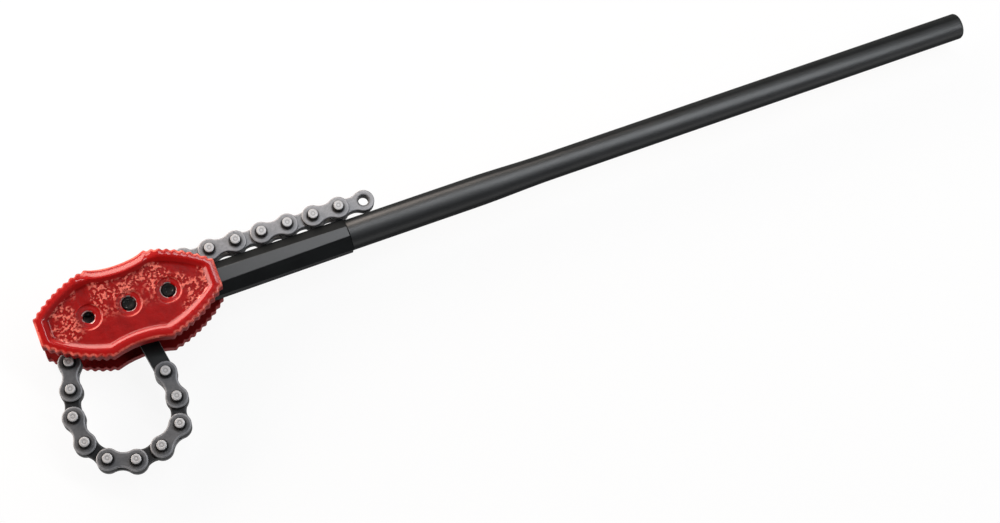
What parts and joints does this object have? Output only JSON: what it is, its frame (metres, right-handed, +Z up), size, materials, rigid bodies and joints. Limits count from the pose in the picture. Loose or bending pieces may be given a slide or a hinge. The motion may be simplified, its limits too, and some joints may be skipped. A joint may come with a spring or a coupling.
{
  "type": "chain tongs",
  "caption": "Chain tongs with double-ended toothed jaws bolted to a forked shank, a long round handle bar and a flat-link chain anchored at the centre bolt.",
  "frame": {"origin": "middle of the underside of the tool's box as it lies flat on its rear jaw", "axes": "+X along the handle away from the jaws, +Z up out of the front jaw's face"},
  "size_m": [0.965, 0.1894, 0.062],
  "materials": {
    "jaw_paint": "glossy red enamel over rough forging",
    "handle_black": "satin black paint",
    "bolt_steel": "black oxide",
    "anchor_steel": "dark forged steel",
    "outer_plate_steel": "satin grey steel",
    "inner_plate_steel": "satin grey steel",
    "pin_steel": "bright cut ends"
  },
  "bodies": {
    "tongs": {"jaw_front": "jaw_paint", "jaw_rear": "jaw_paint", "handle_shank": "handle_black", "handle_bar": "handle_black", "chain_bolt": "bolt_steel", "jaw_bolt": "bolt_steel"},
    "anchor": {"anchor_link": "anchor_steel"},
    "link_01": {"outer_plates_01": "outer_plate_steel", "link_pins_01": "pin_steel"},
    "link_02": {"inner_plates_01": "inner_plate_steel"},
    "link_03": {"outer_plates_02": "outer_plate_steel", "link_pins_02": "pin_steel"},
    "link_04": {"inner_plates_02": "inner_plate_steel"},
    "link_05": {"outer_plates_03": "outer_plate_steel", "link_pins_03": "pin_steel"},
    "link_06": {"inner_plates_03": "inner_plate_steel"},
    "link_07": {"outer_plates_04": "outer_plate_steel", "link_pins_04": "pin_steel"},
    "link_08": {"inner_plates_04": "inner_plate_steel"},
    "link_09": {"outer_plates_05": "outer_plate_steel", "link_pins_05": "pin_steel"},
    "link_10": {"inner_plates_05": "inner_plate_steel"},
    "link_11": {"outer_plates_06": "outer_plate_steel", "link_pins_06": "pin_steel"},
    "link_12": {"inner_plates_06": "inner_plate_steel"},
    "link_13": {"outer_plates_07": "outer_plate_steel", "link_pins_07": "pin_steel"},
    "link_14": {"inner_plates_07": "inner_plate_steel"},
    "link_15": {"outer_plates_08": "outer_plate_steel", "link_pins_08": "pin_steel"},
    "link_16": {"inner_plates_08": "inner_plate_steel"},
    "link_17": {"outer_plates_09": "outer_plate_steel", "link_pins_09": "pin_steel"},
    "link_18": {"inner_plates_09": "inner_plate_steel"},
    "link_19": {"outer_plates_10": "outer_plate_steel", "link_pins_10": "pin_steel"},
    "link_20": {"inner_plates_10": "inner_plate_steel"},
    "link_21": {"outer_plates_11": "outer_plate_steel", "link_pins_11": "pin_steel"},
    "link_22": {"inner_plates_11": "inner_plate_steel"}
  },
  "joints": [
    {"name": "anchor_swing", "type": "hinge", "parent": "tongs", "child": "anchor", "pos_m": [-0.39249, 0.05117, 0.031], "axis": [0, 0, 1], "range_deg": [0, 25]},
    {"name": "chain_pin_01", "type": "hinge", "parent": "anchor", "child": "link_01", "pos_m": [-0.38147, -0.01665, 0.031], "axis": [0, 0, 1], "range_deg": [0, 20]},
    {"name": "chain_pin_02", "type": "hinge", "parent": "link_01", "child": "link_02", "pos_m": [-0.3797, -0.04199, 0.031], "axis": [0, 0, 1], "range_deg": [0, 20]},
    {"name": "chain_pin_03", "type": "hinge", "parent": "link_02", "child": "link_03", "pos_m": [-0.38542, -0.06673, 0.031], "axis": [0, 0, 1], "range_deg": [0, 45]},
    {"name": "chain_pin_04", "type": "hinge", "parent": "link_03", "child": "link_04", "pos_m": [-0.40696, -0.08019, 0.031], "axis": [0, 0, 1], "range_deg": [0, 25]},
    {"name": "chain_pin_05", "type": "hinge", "parent": "link_04", "child": "link_05", "pos_m": [-0.43204, -0.08417, 0.031], "axis": [0, 0, 1], "range_deg": [0, 30]},
    {"name": "chain_pin_06", "type": "hinge", "parent": "link_05", "child": "link_06", "pos_m": [-0.4556, -0.07465, 0.031], "axis": [0, 0, 1], "range_deg": [0, 35]},
    {"name": "chain_pin_07", "type": "hinge", "parent": "link_06", "child": "link_07", "pos_m": [-0.4698, -0.05359, 0.031], "axis": [0, 0, 1], "range_deg": [0, 30]},
    {"name": "chain_pin_08", "type": "hinge", "parent": "link_07", "child": "link_08", "pos_m": [-0.47201, -0.02829, 0.031], "axis": [0, 0, 1], "range_deg": [0, 20]},
    {"name": "chain_pin_09", "type": "hinge", "parent": "link_08", "child": "link_09", "pos_m": [-0.4663, -0.00354, 0.031], "axis": [0, 0, 1], "range_deg": [0, 10]},
    {"name": "chain_pin_10", "type": "hinge", "parent": "link_09", "child": "link_10", "pos_m": [-0.45972, 0.02099, 0.031], "axis": [0, 0, 1], "range_deg": [0, 15]},
    {"name": "chain_pin_11", "type": "hinge", "parent": "link_10", "child": "link_11", "pos_m": [-0.44741, 0.04321, 0.031], "axis": [0, 0, 1], "range_deg": [0, 15]},
    {"name": "chain_pin_12", "type": "hinge", "parent": "link_11", "child": "link_12", "pos_m": [-0.42945, 0.06117, 0.031], "axis": [0, 0, 1], "range_deg": [0, 15]},
    {"name": "chain_pin_13", "type": "hinge", "parent": "link_12", "child": "link_13", "pos_m": [-0.40702, 0.07309, 0.031], "axis": [0, 0, 1], "range_deg": [0, 15]},
    {"name": "chain_pin_14", "type": "hinge", "parent": "link_13", "child": "link_14", "pos_m": [-0.38249, 0.07967, 0.031], "axis": [0, 0, 1], "range_deg": [0, 15]},
    {"name": "chain_pin_15", "type": "hinge", "parent": "link_14", "child": "link_15", "pos_m": [-0.35709, 0.07967, 0.031], "axis": [0, 0, 1], "range_deg": [0, 30]},
    {"name": "chain_pin_16", "type": "hinge", "parent": "link_15", "child": "link_16", "pos_m": [-0.33169, 0.07967, 0.031], "axis": [0, 0, 1], "range_deg": [0, 30]},
    {"name": "chain_pin_17", "type": "hinge", "parent": "link_16", "child": "link_17", "pos_m": [-0.30629, 0.07967, 0.031], "axis": [0, 0, 1], "range_deg": [0, 30]},
    {"name": "chain_pin_18", "type": "hinge", "parent": "link_17", "child": "link_18", "pos_m": [-0.28089, 0.07936, 0.031], "axis": [0, 0, 1], "range_deg": [0, 30]},
    {"name": "chain_pin_19", "type": "hinge", "parent": "link_18", "child": "link_19", "pos_m": [-0.25549, 0.07905, 0.031], "axis": [0, 0, 1], "range_deg": [0, 30]},
    {"name": "chain_pin_20", "type": "hinge", "parent": "link_19", "child": "link_20", "pos_m": [-0.23009, 0.07874, 0.031], "axis": [0, 0, 1], "range_deg": [0, 30]},
    {"name": "chain_pin_21", "type": "hinge", "parent": "link_20", "child": "link_21", "pos_m": [-0.2047, 0.07843, 0.031], "axis": [0, 0, 1], "range_deg": [0, 30]},
    {"name": "chain_pin_22", "type": "hinge", "parent": "link_21", "child": "link_22", "pos_m": [-0.1793, 0.07812, 0.031], "axis": [0, 0, 1], "range_deg": [0, 30]}
  ]
}
